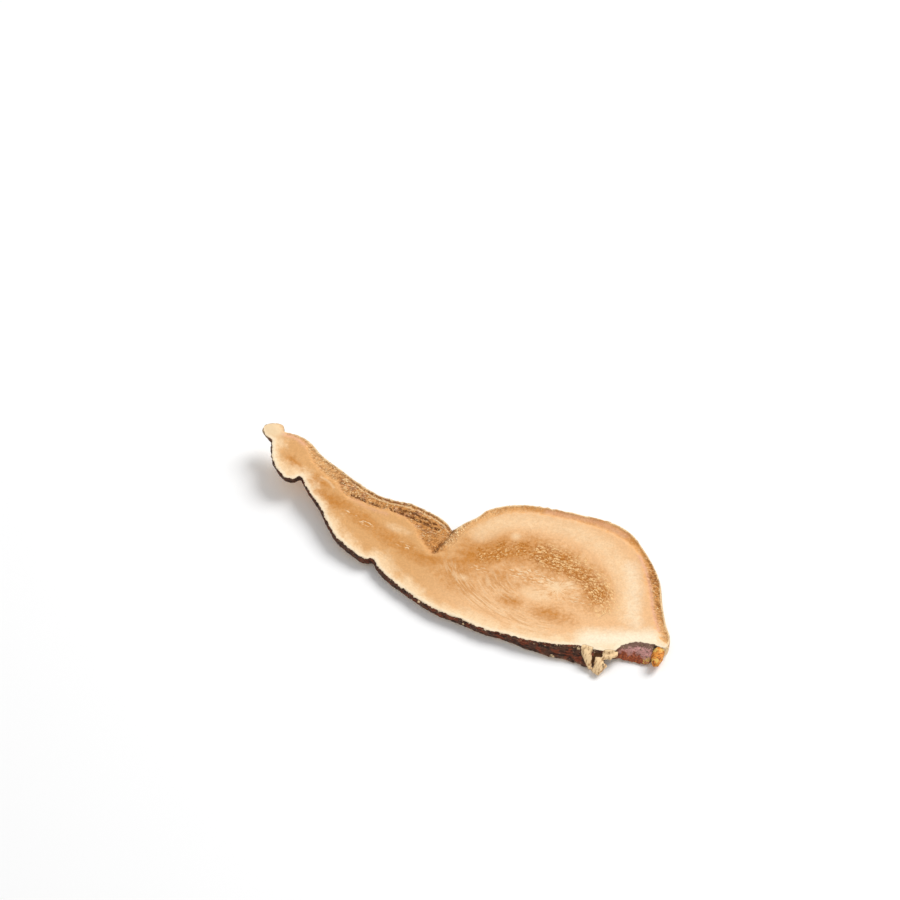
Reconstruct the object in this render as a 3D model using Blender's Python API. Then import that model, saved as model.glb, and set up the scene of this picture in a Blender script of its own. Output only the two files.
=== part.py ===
"""A dried slice of a reishi cap, cut right across: one piece, lying on its cut underside.

Units are metres, +Z is up and +X runs along the slice towards its broad end.
The curved hat side, under its hard crust, faces -Y. The tube layer lines the +Y side.
"""
import math

import bmesh
import bpy
import numpy as np
from mathutils import Vector, geometry, noise

MM = 0.001

# Cut edge of the upper face in millimetres. The crust edge runs from the narrow tip to the
# broad end. The other side starts as a bare knob of flesh, and then has the tube layer.
CRUST_EDGE = [
    (-49.0, 10.1), (-48.5, 9.5), (-47.6, 9.0), (-46.8, 8.7), (-46.1, 8.3), (-45.7, 7.1),
    (-44.9, 5.5), (-43.8, 3.7), (-41.6, 1.8), (-39.7, 1.1), (-38.4, 1.6), (-37.5, 2.8),
    (-36.0, 1.7), (-33.6, -0.5), (-30.9, -2.3), (-28.0, -5.3), (-25.0, -7.9), (-20.6, -9.8),
    (-17.2, -10.5), (-16.1, -9.8), (-14.9, -10.9), (-11.0, -13.2), (-5.9, -15.2), (-0.9, -16.9),
    (5.6, -17.6), (11.0, -18.2), (15.0, -17.9), (20.0, -17.7), (24.5, -17.0), (29.6, -15.5),
    (33.4, -15.3), (36.2, -14.4), (36.9, -12.7), (38.2, -11.4), (40.0, -10.5), (42.9, -10.3),
    (44.8, -10.4), (45.3, -9.4),
]
KNOB_EDGE = [
    (-49.0, 10.1), (-49.2, 10.9), (-48.9, 11.7), (-48.1, 12.5), (-47.0, 13.1), (-46.1, 13.3),
    (-45.5, 12.7), (-45.3, 11.8),
]
PORE_EDGE = [
    (-45.3, 11.8), (-43.9, 12.1), (-42.5, 12.4), (-41.1, 12.4), (-39.9, 12.2), (-38.5, 11.6),
    (-36.4, 10.3), (-31.1, 8.4), (-26.0, 6.7), (-21.5, 5.8), (-18.0, 6.0), (-14.8, 6.6),
    (-10.6, 6.2), (-7.6, 5.5), (-5.6, 4.5), (-4.4, 3.7), (-3.5, 4.6), (-2.4, 6.4),
    (-0.9, 8.2), (0.5, 10.8), (3.2, 12.9), (7.2, 14.7), (12.0, 15.6), (18.5, 16.1),
    (25.3, 16.2), (29.8, 14.8), (33.9, 11.4), (39.0, 5.1), (41.2, -0.2), (43.3, -4.6),
    (45.0, -7.6), (45.3, -9.4),
]
# Where the flesh ends and the tube layer begins, in the same order.
TUBE_LINE = [
    (-45.3, 11.8), (-44.6, 11.0), (-43.0, 11.3), (-41.0, 11.1), (-39.2, 9.7), (-37.6, 7.9),
    (-34.9, 6.0), (-29.8, 4.0), (-28.4, 2.7), (-22.9, 2.2), (-13.5, 2.2), (-11.8, 1.1),
    (-10.4, -0.5), (-8.7, -2.2), (-6.9, -3.4), (-5.3, -3.7), (-4.0, -2.8), (-3.1, -1.4),
    (-2.4, 0.6), (-1.8, 3.1), (-0.9, 5.5), (0.3, 7.4), (1.9, 9.0), (4.4, 11.2), (11.8, 13.5),
    (20.0, 14.0), (27.0, 13.2), (33.0, 10.1), (36.3, 4.7), (39.6, -2.1), (42.5, -7.4),
    (43.6, -9.0), (45.3, -9.4),
]
# The bottom of the crease where the two runs of tubes meet.
CREASE_LINE = [(-4.4, 3.4), (-4.7, 1.5), (-5.1, 0.0), (-5.6, -1.8), (-5.9, -2.9)]

# Thickness of the slice along its length: place on X and thickness, in millimetres.
THICKNESS_ALONG = [(-50.0, 1.6), (-38.0, 1.7), (-25.0, 2.2), (14.0, 2.4), (28.0, 2.8), (46.0, 3.0)]

# Size of the facets. The cells are turned to the slice's length, and are finer around the
# crease. An area is its centre and its half sizes; a wall level is a share of the thickness.
EDGE_STEP = 0.75 * MM
UPPER_CELL = 1.35 * MM
UNDER_CELL = 2.7 * MM
CREASE_CELL = 0.65 * MM
CELL_TURN = math.radians(27.0)
WHOLE_SLICE = ((0.0, 0.0), (60.0 * MM, 60.0 * MM))
CREASE_AREA = ((-4.9 * MM, 0.2 * MM), (2.1 * MM, 4.8 * MM))
WALL_LEVELS = (0.33, 0.7)
SHORTEST_EDGE = 0.25 * MM

# How the slice warped as it dried.
FLAT_CENTRE = (13.0 * MM, -1.5 * MM)
FLAT_REACH = (31.0 * MM, 14.5 * MM)
RIM_LIFT = 0.8 * MM
TIP_LIFT = 5.0 * MM
TIP_LIFT_START = -10.0 * MM
TIP_LIFT_REACH = 37.0 * MM
TIP_LIFT_POWER = 1.8

# Relief of the two cut faces. The tube layer shrank more than the flesh beside it.
DISH_DEPTH = 0.4 * MM
LEDGE_WIDTH = 0.45 * MM
TUBE_SINK = 0.35 * MM
TUBE_SINK_UNDER = 0.25 * MM
CREASE_DEPTH = 0.6 * MM
CREASE_WIDTH = 0.8 * MM

# The wall: it bulges a little, leans in under the crust along the middle, and slopes out
# towards the broad end, apart from one break. Place on X in millimetres, and share of WALL_SLOPE.
CRUST_BULGE = 0.3 * MM
PORE_BULGE = 0.15 * MM
WALL_ROUGHNESS = 0.25 * MM
WALL_GRAIN = 2.0 * MM
WALL_SLOPE = 3.0 * MM
SLOPE_DIRECTION = (0.15, -1.0)
SLOPE_ALONG = [
    (-50.0, -0.1), (14.0, -0.1), (25.0, 0.45), (31.0, 0.95), (32.8, 0.8), (34.2, -0.1),
    (36.0, -0.15), (37.6, 0.75), (40.0, 1.05), (42.4, 1.0), (43.6, 0.2), (46.5, -0.15),
]
SLOPE_REACH_IN = 6.0 * MM

# Lumps that stand out from the edge: centre and half sizes in millimetres.
LUMPS = {
    "tip_knob": ((-47.4, 11.3, 6.75), (1.8, 1.3, 0.95)),
    "broken_lump": ((44.0, -11.9, 2.0), (1.1, 2.3, 1.5)),
    "fringe_0": ((34.7, -15.7, 2.3), (0.6, 0.8, 0.45)),
    "fringe_1": ((35.6, -15.3, 2.4), (0.55, 0.9, 0.45)),
    "fringe_2": ((36.4, -14.7, 2.5), (0.5, 0.7, 0.4)),
    "fringe_3": ((35.0, -17.2, 1.3), (0.6, 0.6, 0.5)),
}
LUMP_ROUGHNESS = 0.3

# Torn strips of flesh that hang over the wall: route, half width and half thickness in
# millimetres, and the strip's width at each point of the route as a share of the whole.
TORN_STRIPS = {
    "torn_strip_0": (
        [(30.9, -14.2, 2.45), (31.1, -16.1, 2.5), (31.9, -17.7, 1.75), (32.8, -18.6, 0.85)],
        1.0, 0.35, (1.0, 0.9, 0.6, 0.4),
    ),
    "torn_strip_1": (
        [(33.0, -15.6, 1.9), (33.8, -16.9, 1.85), (34.2, -18.2, 1.35), (33.9, -19.2, 0.85)],
        1.0, 0.45, (0.7, 0.95, 1.0, 0.85),
    ),
}
STRIP_ROUGHNESS = 0.25 * MM
STRIP_GRAIN = 1.8 * MM


def clear_scene():
    for item in list(bpy.data.objects):
        bpy.data.objects.remove(item, do_unlink=True)


def collection(name):
    group = bpy.data.collections.new(name)
    bpy.context.scene.collection.children.link(group)
    return group


def flesh_material():
    material = bpy.data.materials.new("dried_flesh")
    material.use_nodes = True
    shader = material.node_tree.nodes["Principled BSDF"]
    shader.inputs["Base Color"].default_value = (0.66, 0.42, 0.20, 1.0)
    shader.inputs["Roughness"].default_value = 0.8
    shader.inputs["Metallic"].default_value = 0.0
    return material


def smooth_step(value):
    t = np.clip(value, 0.0, 1.0)
    return t * t * (3.0 - 2.0 * t)


def read_along(stations, x):
    places, values = np.array(stations).T
    return np.interp(x, places * MM, values)


def smooth_line(stations):
    """Points about EDGE_STEP apart on a smooth curve through the stations."""
    knots = np.array(stations) * MM
    spans = np.linalg.norm(np.diff(knots, axis=0), axis=1)
    places = np.concatenate([[0.0], np.cumsum(spans)])
    tangents = np.gradient(knots, places, axis=0)
    at = np.linspace(0.0, places[-1], round(places[-1] / EDGE_STEP) + 1)
    index = np.clip(np.searchsorted(places, at, "right") - 1, 0, len(spans) - 1)
    span = spans[index][:, None]
    t = (at - places[index])[:, None] / span
    start_part = (2 * t**3 - 3 * t**2 + 1) * knots[index] + (t**3 - 2 * t**2 + t) * tangents[index] * span
    end_part = (3 * t**2 - 2 * t**3) * knots[index + 1] + (t**3 - t**2) * tangents[index + 1] * span
    return start_part + end_part


def distance_to_line(points, line):
    """Shortest plan distance from each point to a line."""
    nearest = np.full(len(points), np.inf)
    for start, end in zip(line[:-1], line[1:]):
        run = end - start
        along = np.clip((points - start) @ run / (run @ run), 0.0, 1.0)
        gap = np.linalg.norm(points - start - along[:, None] * run, axis=1)
        nearest = np.minimum(nearest, gap)
    return nearest


def inside_loop(points, loop):
    """True for each point inside a closed loop, by counting crossings."""
    inside = np.zeros(len(points), dtype=bool)
    for (x0, y0), (x1, y1) in zip(loop, np.roll(loop, -1, axis=0)):
        spans = (y0 > points[:, 1]) != (y1 > points[:, 1])
        slope = (x1 - x0) / (y1 - y0) if y1 != y0 else 0.0
        inside ^= spans & (points[:, 0] < x0 + (points[:, 1] - y0) * slope)
    return inside


def inset_loop(loop, width):
    """The loop moved inwards, without the points that would fold over each other."""
    run = np.roll(loop, -1, axis=0) - np.roll(loop, 1, axis=0)
    side = np.stack([-run[:, 1], run[:, 0]], axis=1) / np.linalg.norm(run, axis=1)[:, None]
    closed = np.vstack([loop, loop[:1]])
    moved = loop + side * width
    if not inside_loop(moved, loop).mean() > 0.5:
        moved = loop - side * width
    clear = distance_to_line(moved, closed) > 0.97 * width
    return moved[clear & inside_loop(moved, loop)]


crust_line = smooth_line(CRUST_EDGE)
knob_line = smooth_line(KNOB_EDGE)
pore_line = smooth_line(PORE_EDGE)
tube_line = smooth_line(TUBE_LINE)
flesh_loop = np.vstack([crust_line, tube_line[-2::-1], knob_line[-2:0:-1]])
tube_loop = np.vstack([tube_line, pore_line[-2:0:-1]])
tube_floor_loop = inset_loop(tube_loop, LEDGE_WIDTH)


def add_prism(prism, loops, is_ledge):
    """Add the solid under a flat outline, with a further loop as a hole, 1 mm deep.

    The edges that fill its flat faces are marked as seams. The ledge's are kept instead,
    and its faces are flat shaded, so that they can be told from the others.
    """
    outline = bpy.data.curves.new("outline", "CURVE")
    outline.dimensions = "2D"
    outline.fill_mode = "BOTH"
    outline.extrude = 0.5 * MM
    for loop in loops:
        spline = outline.splines.new("POLY")
        spline.points.add(len(loop) - 1)
        for point, (x, y) in zip(spline.points, loop):
            point.co = (x, y, 0.0, 1.0)
        spline.use_cyclic_u = True

    guide = bpy.data.objects.new("outline", outline)
    bpy.context.scene.collection.objects.link(guide)
    evaluated = guide.evaluated_get(bpy.context.evaluated_depsgraph_get())
    mesh = bpy.data.meshes.new_from_object(evaluated)
    bpy.data.objects.remove(guide, do_unlink=True)

    solid = bmesh.new()
    solid.from_mesh(mesh)
    bmesh.ops.remove_doubles(solid, verts=solid.verts, dist=0.001 * MM)
    caps = [face for face in solid.faces if abs(face.normal.z) > 0.9]
    fill_edges = [edge for edge in solid.edges if set(edge.link_faces) <= set(caps)]
    if is_ledge:
        bmesh.ops.beautify_fill(solid, faces=caps, edges=fill_edges)
    else:
        for edge in fill_edges:
            edge.seam = True
    for face in solid.faces:
        face.smooth = not is_ledge
    solid.to_mesh(mesh)
    solid.free()
    prism.from_mesh(mesh)
    bpy.data.meshes.remove(mesh)


def slice_prism():
    """The slice as a flat plate, in one body, with edges along the ledge of the tube layer."""
    prism = bmesh.new()
    add_prism(prism, [flesh_loop], is_ledge=False)
    add_prism(prism, [tube_floor_loop], is_ledge=False)
    add_prism(prism, [tube_loop, tube_floor_loop], is_ledge=True)
    bmesh.ops.remove_doubles(prism, verts=prism.verts, dist=0.001 * MM)
    seams = [edge for edge in prism.edges if len(edge.link_faces) > 2]
    level_seams = [edge for edge in seams if edge.verts[0].co.z * edge.verts[1].co.z > 0.0]
    beside = {face for edge in level_seams for face in edge.link_faces}
    inner_walls = [face for face in beside if abs(face.normal.z) < 0.5]
    bmesh.ops.delete(prism, geom=inner_walls, context="FACES")
    return prism


def cut_wall(prism):
    for level in WALL_LEVELS:
        place = Vector((0.0, 0.0, (level - 0.5) * MM))
        parts = prism.verts[:] + prism.edges[:] + prism.faces[:]
        bmesh.ops.bisect_plane(
            prism, geom=parts, dist=0.01 * MM, plane_co=place, plane_no=Vector((0.0, 0.0, 1.0))
        )


def cut_cells(prism, side, area, cell):
    """Divide one flat side within an area, apart from the narrow ledge, into square cells."""
    centre, reach = np.array(area)
    for turn in (CELL_TURN, CELL_TURN + math.pi / 2.0):
        normal = Vector((math.cos(turn), math.sin(turn), 0.0))
        for step in np.arange(-reach.max(), reach.max(), cell):
            place = Vector((*centre, 0.0)) + normal * step
            faces = [
                face for face in prism.faces
                if face.normal.z * side > 0.9 and face.smooth
                and np.all(np.abs(np.array(face.calc_center_median().xy) - centre) < reach)
            ]
            edges = list({edge for face in faces for edge in face.edges})
            verts = list({vert for face in faces for vert in face.verts})
            bmesh.ops.bisect_plane(
                prism, geom=verts + edges + faces, dist=0.01 * MM, plane_co=place, plane_no=normal
            )


def on_loop(vert):
    return any(abs(face.normal.z) < 0.5 or not face.smooth for face in vert.link_faces)


def can_merge(dropped, kept):
    """True where moving one point onto the other folds no face and joins no other ones."""
    beside_dropped = {edge.other_vert(dropped) for edge in dropped.link_edges}
    beside_kept = {edge.other_vert(kept) for edge in kept.link_edges}
    if len(beside_dropped & beside_kept) != 2:
        return False
    for face in dropped.link_faces:
        if kept not in face.verts:
            corners = [kept.co if vert is dropped else vert.co for vert in face.verts]
            if geometry.normal(corners).dot(face.normal) < 0.5:
                return False
    return True


def merge_short_edges(prism):
    """Close each very short edge onto the end that lies on the outline or on the ledge."""
    merges = True
    while merges:
        merges = {}
        taken = set()
        prism.edges.index_update()
        for edge in sorted(prism.edges, key=lambda edge: (edge.calc_length(), edge.index)):
            if edge.calc_length() > SHORTEST_EDGE:
                break
            kept, dropped = sorted(edge.verts, key=on_loop, reverse=True)
            around = {vert for face in dropped.link_faces for vert in face.verts}
            if not taken & around and can_merge(dropped, kept):
                merges[dropped] = kept
                taken |= around
        bmesh.ops.weld_verts(prism, targetmap=merges)


def from_flat_centre(points):
    """0 in the middle of the part that lies flat, 1 at its limit."""
    x, y = points.T
    return np.hypot((x - FLAT_CENTRE[0]) / FLAT_REACH[0], (y - FLAT_CENTRE[1]) / FLAT_REACH[1])


def warp(points):
    """How far the drying lifted the slice off the surface under each point."""
    rim = RIM_LIFT * smooth_step((from_flat_centre(points) - 0.8) / 0.7)
    tip = np.clip((TIP_LIFT_START - points[:, 0]) / TIP_LIFT_REACH, 0.0, None) ** TIP_LIFT_POWER
    return rim + TIP_LIFT * tip


def tube_depth(points):
    """1 on the sunk floor of the tube layer, 0 on the flesh and on the layer's outer lip."""
    ledge = distance_to_line(points, np.vstack([tube_loop, tube_loop[:1]])) / LEDGE_WIDTH
    return smooth_step(ledge) * inside_loop(points, tube_loop)


def upper_relief(points):
    dish = DISH_DEPTH * (1.0 - smooth_step(from_flat_centre(points)))
    sunk = TUBE_SINK * tube_depth(points)
    crease = distance_to_line(points, np.array(CREASE_LINE) * MM) / CREASE_WIDTH
    crease = CREASE_DEPTH * np.exp(-crease ** 2)
    return -(dish + sunk + crease)


def outward_directions(prism):
    """Direction straight out of the wall, at each point of the wall."""
    outward = {}
    for vert in prism.verts:
        walls = [face.normal for face in vert.link_faces if abs(face.normal.z) < 0.5]
        if walls:
            outward[vert.index] = sum(walls, Vector()).xy.normalized()
    return outward


def shape_slice(prism):
    """Move the flat plate's points to the dried slice's real surface."""
    prism.verts.index_update()
    prism.normal_update()
    points = np.array([vert.co.to_tuple() for vert in prism.verts])
    plan = points[:, :2]
    level = points[:, 2] / MM + 0.5
    from_crust = distance_to_line(plan, crust_line)
    from_edge = np.minimum(from_crust, distance_to_line(plan, np.vstack([knob_line, pore_line[1:]])))

    under = warp(plan) + TUBE_SINK_UNDER * tube_depth(plan)
    upper = warp(plan) + read_along(THICKNESS_ALONG, plan[:, 0]) * MM + upper_relief(plan)
    height = under + level * (upper - under)

    crust_side = from_crust <= from_edge
    bulge = np.where(crust_side, CRUST_BULGE, PORE_BULGE) * 4.0 * level * (1.0 - level)
    slope = WALL_SLOPE * read_along(SLOPE_ALONG, plan[:, 0]) * crust_side * (1.0 - level)
    slope *= 1.0 - smooth_step(from_edge / SLOPE_REACH_IN)
    outward = outward_directions(prism)

    for vert in prism.verts:
        index = vert.index
        move = Vector(SLOPE_DIRECTION) * slope[index]
        if index in outward:
            grain = noise.noise(vert.co / WALL_GRAIN) * WALL_ROUGHNESS
            move += outward[index] * (bulge[index] + grain * (1.0 - level[index]) * crust_side[index])
        vert.co = (plan[index, 0] + move.x, plan[index, 1] + move.y, height[index])


def build_slice(group, material):
    prism = slice_prism()
    cut_wall(prism)
    cut_cells(prism, 1.0, WHOLE_SLICE, UPPER_CELL)
    cut_cells(prism, 1.0, CREASE_AREA, CREASE_CELL)
    cut_cells(prism, -1.0, WHOLE_SLICE, UNDER_CELL)
    bmesh.ops.dissolve_edges(prism, edges=[edge for edge in prism.edges if edge.seam], use_verts=True)
    bmesh.ops.triangulate(prism, faces=prism.faces, quad_method="BEAUTY", ngon_method="BEAUTY")
    merge_short_edges(prism)
    shape_slice(prism)
    for face in prism.faces:
        face.smooth = False
    mesh = bpy.data.meshes.new("reishi_slice")
    prism.to_mesh(mesh)
    prism.free()
    mesh.materials.append(material)
    piece = bpy.data.objects.new("reishi_slice", mesh)
    group.objects.link(piece)
    return piece


def add_lump(group, name, centre, half_sizes):
    """A rough ball, stretched to its half sizes."""
    mesh = bpy.data.meshes.new(name)
    ball = bmesh.new()
    bmesh.ops.create_icosphere(ball, subdivisions=2, radius=1.0)
    for vert in ball.verts:
        swell = 1.0 + LUMP_ROUGHNESS * noise.noise(vert.co * 1.7 + Vector(centre))
        vert.co = [(c + d * swell * r) * MM for c, d, r in zip(centre, vert.co, half_sizes)]
    ball.to_mesh(mesh)
    ball.free()
    group.objects.link(bpy.data.objects.new(name, mesh))


def add_strip(group, name, route, half_width, half_thickness, tapers):
    """A torn strip: a flat tapering band along its route, made a mesh with welded caps."""
    curve = bpy.data.curves.new(name, "CURVE")
    curve.dimensions = "3D"
    curve.twist_mode = "Z_UP"
    curve.extrude = (half_width - half_thickness) * MM
    curve.bevel_depth = half_thickness * MM
    curve.bevel_resolution = 1
    curve.use_fill_caps = True
    curve.resolution_u = 3
    spline = curve.splines.new("BEZIER")
    spline.bezier_points.add(len(route) - 1)
    for point, place, taper in zip(spline.bezier_points, route, tapers):
        point.co = Vector(place) * MM
        point.handle_left_type = "AUTO"
        point.handle_right_type = "AUTO"
        point.radius = taper
        point.tilt = math.pi / 2.0
    guide = bpy.data.objects.new(name, curve)
    bpy.context.scene.collection.objects.link(guide)
    evaluated = guide.evaluated_get(bpy.context.evaluated_depsgraph_get())
    mesh = bpy.data.meshes.new_from_object(evaluated)
    bpy.data.objects.remove(guide, do_unlink=True)

    band = bmesh.new()
    band.from_mesh(mesh)
    bmesh.ops.remove_doubles(band, verts=band.verts, dist=0.001 * MM)
    for vert in band.verts:
        vert.co += noise.noise_vector(vert.co / STRIP_GRAIN) * STRIP_ROUGHNESS
    band.to_mesh(mesh)
    band.free()
    group.objects.link(bpy.data.objects.new(name, mesh))


def fuse(piece, additions):
    union = piece.modifiers.new("fuse_lumps", "BOOLEAN")
    union.operation = "UNION"
    union.solver = "EXACT"
    union.operand_type = "COLLECTION"
    union.collection = additions
    for addition in additions.objects:
        addition.parent = piece
        addition.hide_render = True
        addition.display_type = "WIRE"


def centre_on_origin(piece):
    bpy.context.view_layer.update()
    evaluated = piece.evaluated_get(bpy.context.evaluated_depsgraph_get())
    corners = np.array([tuple(corner) for corner in evaluated.bound_box])
    middle = (corners.min(axis=0) + corners.max(axis=0)) / 2.0
    piece.location = (-middle[0], -middle[1], -corners[:, 2].min())


def main():
    clear_scene()
    parts = collection("dried_reishi_slice")
    additions = collection("fused_lumps")
    piece = build_slice(parts, flesh_material())
    for name, (centre, half_sizes) in LUMPS.items():
        add_lump(additions, name, centre, half_sizes)
    for name, shape in TORN_STRIPS.items():
        add_strip(additions, name, *shape)
    fuse(piece, additions)
    centre_on_origin(piece)


main()
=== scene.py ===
# One dried slice of a reishi cap, cut right across, lying on its flat cut underside.
# The solid is copied, remeshed finely and roughened, and then painted by how far each
# point lies from the crust, from the tubes and from the middle of the growth rings.
import math

import bpy
import numpy as np
from mathutils import Matrix, Vector, noise


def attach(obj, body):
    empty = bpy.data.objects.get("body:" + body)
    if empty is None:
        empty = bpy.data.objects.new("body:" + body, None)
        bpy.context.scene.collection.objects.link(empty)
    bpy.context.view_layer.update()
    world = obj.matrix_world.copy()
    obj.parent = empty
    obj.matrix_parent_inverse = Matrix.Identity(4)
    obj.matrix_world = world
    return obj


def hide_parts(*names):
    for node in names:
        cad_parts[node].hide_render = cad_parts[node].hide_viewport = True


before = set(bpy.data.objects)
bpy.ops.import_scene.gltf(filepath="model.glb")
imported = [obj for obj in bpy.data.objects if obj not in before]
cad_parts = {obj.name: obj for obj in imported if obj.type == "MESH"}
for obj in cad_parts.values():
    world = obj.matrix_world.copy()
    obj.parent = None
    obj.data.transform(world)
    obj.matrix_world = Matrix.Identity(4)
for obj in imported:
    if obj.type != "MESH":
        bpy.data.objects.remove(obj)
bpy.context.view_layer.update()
mm = 0.001
drawingOffset = (1.95, 1.484)      # mm, from the frame's origin to the drawing's

print("camera")
view = dict(
    azimuth=21.5,
    elevation=47.4,
    lens=85.0,
    sensor=36.0,
    distance=425.0,                 # mm, to the aim point along the optical axis
    aimPoint=(0.0, 0.0, 3.0),       # mm, in the drawing
    aimPixel=(466.0, 545.0),
    imageSize=900.0,
)


def placeCamera():
    turn = math.radians(view["azimuth"])
    tip = math.radians(view["elevation"])
    back = Vector((math.sin(turn) * math.cos(tip), -math.cos(turn) * math.cos(tip), math.sin(tip)))
    right = Vector((math.cos(turn), math.sin(turn), 0.0))
    up = back.cross(right)
    seenWidth = view["distance"] * view["sensor"] / view["lens"]
    acrossView = (view["aimPixel"][0] / view["imageSize"] - 0.5) * seenWidth
    downView = (view["aimPixel"][1] / view["imageSize"] - 0.5) * seenWidth
    aim = Vector(view["aimPoint"]) + Vector((*drawingOffset, 0.0))
    place = aim + back * view["distance"] - right * acrossView + up * downView
    camera = bpy.data.objects.new("camera", bpy.data.cameras.new("camera"))
    camera.data.lens = view["lens"]
    camera.data.sensor_width = view["sensor"]
    camera.data.clip_start = 10 * mm
    camera.matrix_world = Matrix.Translation(place * mm) @ Matrix((right, up, back)).transposed().to_4x4()
    bpy.context.scene.collection.objects.link(camera)
    bpy.context.scene.camera = camera


placeCamera()


# lines of the slice on its drawing, in millimetres
sliceLines = dict(
    crustEdge=[
        (-49.0, 10.1), (-48.5, 9.5), (-47.6, 9.0), (-46.8, 8.7), (-46.1, 8.3), (-45.7, 7.1),
        (-44.9, 5.5), (-43.8, 3.7), (-41.6, 1.8), (-39.7, 1.1), (-38.4, 1.6), (-37.5, 2.8),
        (-36.0, 1.7), (-33.6, -0.5), (-30.9, -2.3), (-28.0, -5.3), (-25.0, -7.9), (-20.6, -9.8),
        (-17.2, -10.5), (-16.1, -9.8), (-14.9, -10.9), (-11.0, -13.2), (-5.9, -15.2), (-0.9, -16.9),
        (5.6, -17.6), (11.0, -18.2), (15.0, -17.9), (20.0, -17.7), (24.5, -17.0), (29.6, -15.5),
        (33.4, -15.3), (36.2, -14.4), (36.9, -12.7), (38.2, -11.4), (40.0, -10.5), (42.9, -10.3),
        (44.8, -10.4), (45.3, -9.4),
    ],
    knobEdge=[
        (-49.0, 10.1), (-49.2, 10.9), (-48.9, 11.7), (-48.1, 12.5), (-47.0, 13.1), (-46.1, 13.3),
        (-45.5, 12.7), (-45.3, 11.8),
    ],
    poreEdge=[
        (-45.3, 11.8), (-43.9, 12.1), (-42.5, 12.4), (-41.1, 12.4), (-39.9, 12.2), (-38.5, 11.6),
        (-36.4, 10.3), (-31.1, 8.4), (-26.0, 6.7), (-21.5, 5.8), (-18.0, 6.0), (-14.8, 6.6),
        (-10.6, 6.2), (-7.6, 5.5), (-5.6, 4.5), (-4.4, 3.7), (-3.5, 4.6), (-2.4, 6.4),
        (-0.9, 8.2), (0.5, 10.8), (3.2, 12.9), (7.2, 14.7), (12.0, 15.6), (18.5, 16.1),
        (25.3, 16.2), (29.8, 14.8), (33.9, 11.4), (39.0, 5.1), (41.2, -0.2), (43.3, -4.6),
        (45.0, -7.6), (45.3, -9.4),
    ],
    tubeLine=[
        (-45.3, 11.8), (-44.6, 11.0), (-43.0, 11.3), (-41.0, 11.1), (-39.2, 9.7), (-37.6, 7.9),
        (-34.9, 6.0), (-29.8, 4.0), (-28.4, 2.7), (-22.9, 2.2), (-13.5, 2.2), (-11.8, 1.1),
        (-10.4, -0.5), (-8.7, -2.2), (-6.9, -3.4), (-5.3, -3.7), (-4.0, -2.8), (-3.1, -1.4),
        (-2.4, 0.6), (-1.8, 3.1), (-0.9, 5.5), (0.3, 7.4), (1.9, 9.0), (4.4, 11.2), (11.8, 13.5),
        (20.0, 14.0), (27.0, 13.2), (33.0, 10.1), (36.3, 4.7), (39.6, -2.1), (42.5, -7.4),
        (43.6, -9.0), (45.3, -9.4),
    ],
    crease=[(-4.3, 4.0), (-4.4, 3.0), (-4.7, 1.5), (-5.1, 0.0), (-5.6, -1.8), (-5.9, -3.2)],
    lobeCorners=[(-5.9, -30.0), (60.0, -30.0), (60.0, 30.0), (-3.6, 30.0)],
    cracks=[
        [(-26.2, 3.4), (-23.3, 3.2), (-20.1, 3.4), (-16.9, 3.6), (-13.5, 3.5), (-10.0, 3.0), (-7.0, 2.5)],
        [(-16.1, 4.5), (-13.5, 4.6), (-10.5, 4.2), (-7.9, 3.5)],
    ],
    step=0.5,
)


def smoothRoute(stations):
    knots = np.array(stations)
    spans = np.linalg.norm(np.diff(knots, axis=0), axis=1)
    places = np.concatenate([[0.0], np.cumsum(spans)])
    tangents = np.gradient(knots, places, axis=0)
    at = np.linspace(0.0, places[-1], round(places[-1] / sliceLines["step"]) + 1)
    index = np.clip(np.searchsorted(places, at, "right") - 1, 0, len(spans) - 1)
    span = spans[index][:, None]
    t = (at - places[index])[:, None] / span
    start = (2 * t**3 - 3 * t**2 + 1) * knots[index] + (t**3 - 2 * t**2 + t) * tangents[index] * span
    end = (3 * t**2 - 2 * t**3) * knots[index + 1] + (t**3 - t**2) * tangents[index + 1] * span
    return start + end


def nearestOn(route, points):
    # distance to a route, and how far along it the nearest point lies
    nearest = np.full(len(points), np.inf)
    along = np.zeros(len(points))
    passed = 0.0
    for start, end in zip(route[:-1], route[1:]):
        run = end - start
        length = np.linalg.norm(run)
        share = np.clip((points - start) @ run / length**2, 0.0, 1.0)
        gap = np.linalg.norm(points - start - share[:, None] * run, axis=1)
        closer = gap < nearest
        nearest = np.where(closer, gap, nearest)
        along = np.where(closer, passed + share * length, along)
        passed += length
    return nearest, along


def insideLoop(points, loop):
    inside = np.zeros(len(points), dtype=bool)
    for (x0, y0), (x1, y1) in zip(loop, np.roll(loop, -1, axis=0)):
        if y0 != y1:
            spans = (y0 > points[:, 1]) != (y1 > points[:, 1])
            inside ^= spans & (points[:, 0] < x0 + (points[:, 1] - y0) * (x1 - x0) / (y1 - y0))
    return inside


def smoothStep(value, low=0.0, high=1.0):
    t = np.clip((value - low) / (high - low), 0.0, 1.0)
    return t * t * (3.0 - 2.0 * t)


print("slice mesh")
meshing = dict(
    mergeWithin=0.001 * mm,
    voxel=0.23 * mm,
    smoothing=0.5,
    smoothPasses=3,
)


def applyModifier(piece, kind, **settings):
    modifier = piece.modifiers.new(kind.lower(), kind)
    for key, value in settings.items():
        setattr(modifier, key, value)
    bpy.ops.object.modifier_apply(modifier=modifier.name)


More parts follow.
